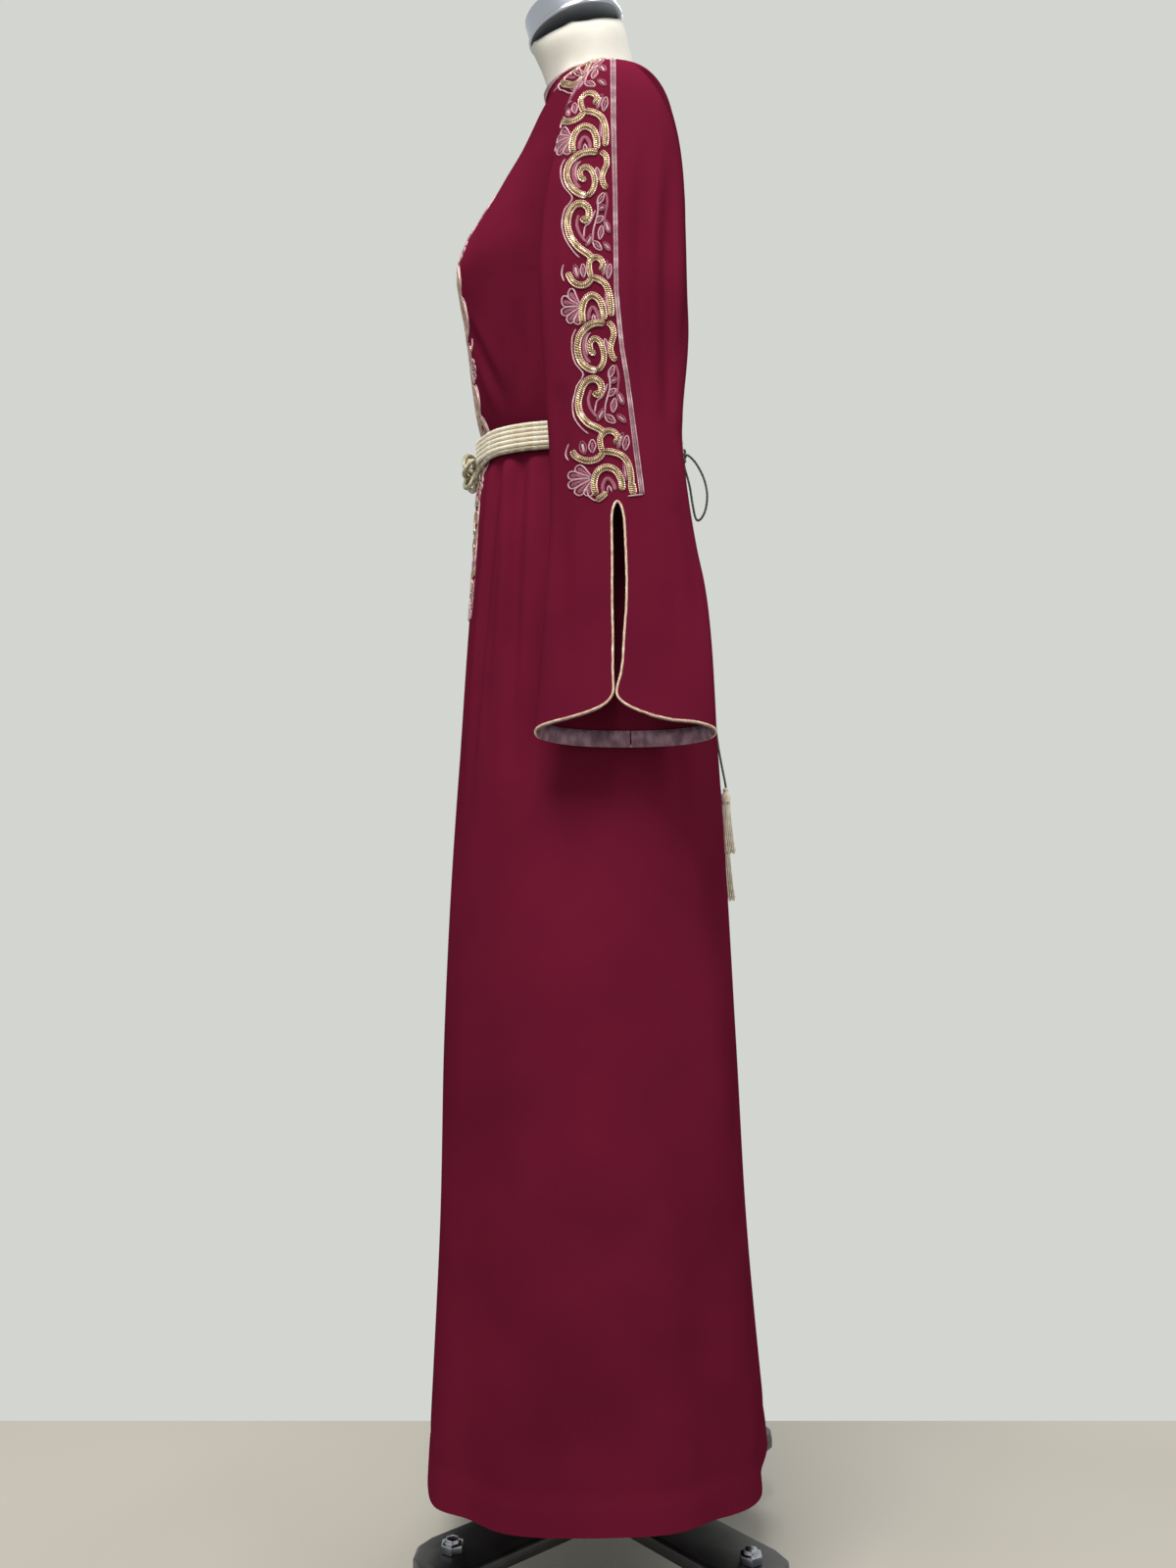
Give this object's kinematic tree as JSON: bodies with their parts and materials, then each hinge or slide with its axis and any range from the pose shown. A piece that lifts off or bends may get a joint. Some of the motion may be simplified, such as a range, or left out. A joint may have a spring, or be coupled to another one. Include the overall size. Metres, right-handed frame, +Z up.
{
  "type": "belted abaya on a dress form with a castor stand",
  "caption": "Full-length wine-red abaya with gold and silver scroll embroidery, a corded belt and tassels, on a limbless dress form with a castor stand.",
  "frame": {"origin": "on the floor under the pole, at the middle of the castor base", "axes": "+Z up along the pole; the garment's front faces -X and the wearer's left side is -Y"},
  "size_m": [0.362, 0.4808, 1.5836],
  "materials": {
    "wine_crepe": "matt woven crepe",
    "gold_thread": "metallic embroidery thread and braid",
    "silver_thread": "silvery pink braid",
    "hem_tape": "matt woven tape",
    "dark_cord": "twisted cord",
    "ivory_jersey": "smooth stretched jersey",
    "chrome": "polished",
    "black_iron": "satin black",
    "castor_rubber": "moulded"
  },
  "bodies": {
    "garment_and_form": {"back": "wine_crepe", "belt": "gold_thread", "belt_knot": "silver_thread", "cuff_piping_left": "gold_thread", "cuff_piping_right": "gold_thread", "form_torso": "ivory_jersey", "front_embroidery_left": "gold_thread", "front_embroidery_right": "gold_thread", "front_left": "wine_crepe", "front_right": "wine_crepe", "hem_tape_left": "hem_tape", "hem_tape_right": "hem_tape", "leg_nut_1": "chrome", "leg_nut_2": "chrome", "leg_nut_3": "chrome", "leg_nut_4": "chrome", "neck_cap": "chrome", "neck_trim": "silver_thread", "pole": "chrome", "sleeve_embroidery_left": "gold_thread", "sleeve_embroidery_right": "gold_thread", "sleeve_left": "wine_crepe", "sleeve_right": "wine_crepe", "stand_base": "black_iron", "tassel_left": "gold_thread", "tassel_right": "gold_thread", "tie_end_left": "dark_cord", "tie_end_right": "dark_cord", "tie_knot": "dark_cord", "tie_loop": "dark_cord"},
    "castor_swivel_1": {"castor_fork_1": "chrome"},
    "castor_roller_1": {"castor_wheel_1": "castor_rubber"},
    "castor_swivel_2": {"castor_fork_2": "chrome"},
    "castor_roller_2": {"castor_wheel_2": "castor_rubber"},
    "castor_swivel_3": {"castor_fork_3": "chrome"},
    "castor_roller_3": {"castor_wheel_3": "castor_rubber"},
    "castor_swivel_4": {"castor_fork_4": "chrome"},
    "castor_roller_4": {"castor_wheel_4": "castor_rubber"}
  },
  "joints": [
    {"name": "swivel_1", "type": "hinge", "parent": "garment_and_form", "child": "castor_swivel_1", "pos_m": [0.14566, 0.12662, 0.0625], "axis": [0, 0, 1], "continuous": true},
    {"name": "roll_1", "type": "hinge", "parent": "castor_swivel_1", "child": "castor_roller_1", "pos_m": [0.13323, 0.13669, 0.0225], "axis": [-0.6293, -0.7771, 0], "continuous": true},
    {"name": "swivel_2", "type": "hinge", "parent": "garment_and_form", "child": "castor_swivel_2", "pos_m": [-0.12662, 0.14566, 0.0625], "axis": [0, 0, 1], "continuous": true},
    {"name": "roll_2", "type": "hinge", "parent": "castor_swivel_2", "child": "castor_roller_2", "pos_m": [-0.14233, 0.14261, 0.0225], "axis": [0.1908, -0.9816, 0], "continuous": true},
    {"name": "swivel_3", "type": "hinge", "parent": "garment_and_form", "child": "castor_swivel_3", "pos_m": [-0.14566, -0.12662, 0.0625], "axis": [0, 0, 1], "continuous": true},
    {"name": "roll_3", "type": "hinge", "parent": "castor_swivel_3", "child": "castor_roller_3", "pos_m": [-0.15892, -0.11767, 0.0225], "axis": [-0.5592, -0.829, 0], "continuous": true},
    {"name": "swivel_4", "type": "hinge", "parent": "garment_and_form", "child": "castor_swivel_4", "pos_m": [0.12662, -0.14566, 0.0625], "axis": [0, 0, 1], "continuous": true},
    {"name": "roll_4", "type": "hinge", "parent": "castor_swivel_4", "child": "castor_roller_4", "pos_m": [0.13183, -0.13053, 0.0225], "axis": [-0.9455, 0.3256, 0], "continuous": true}
  ]
}
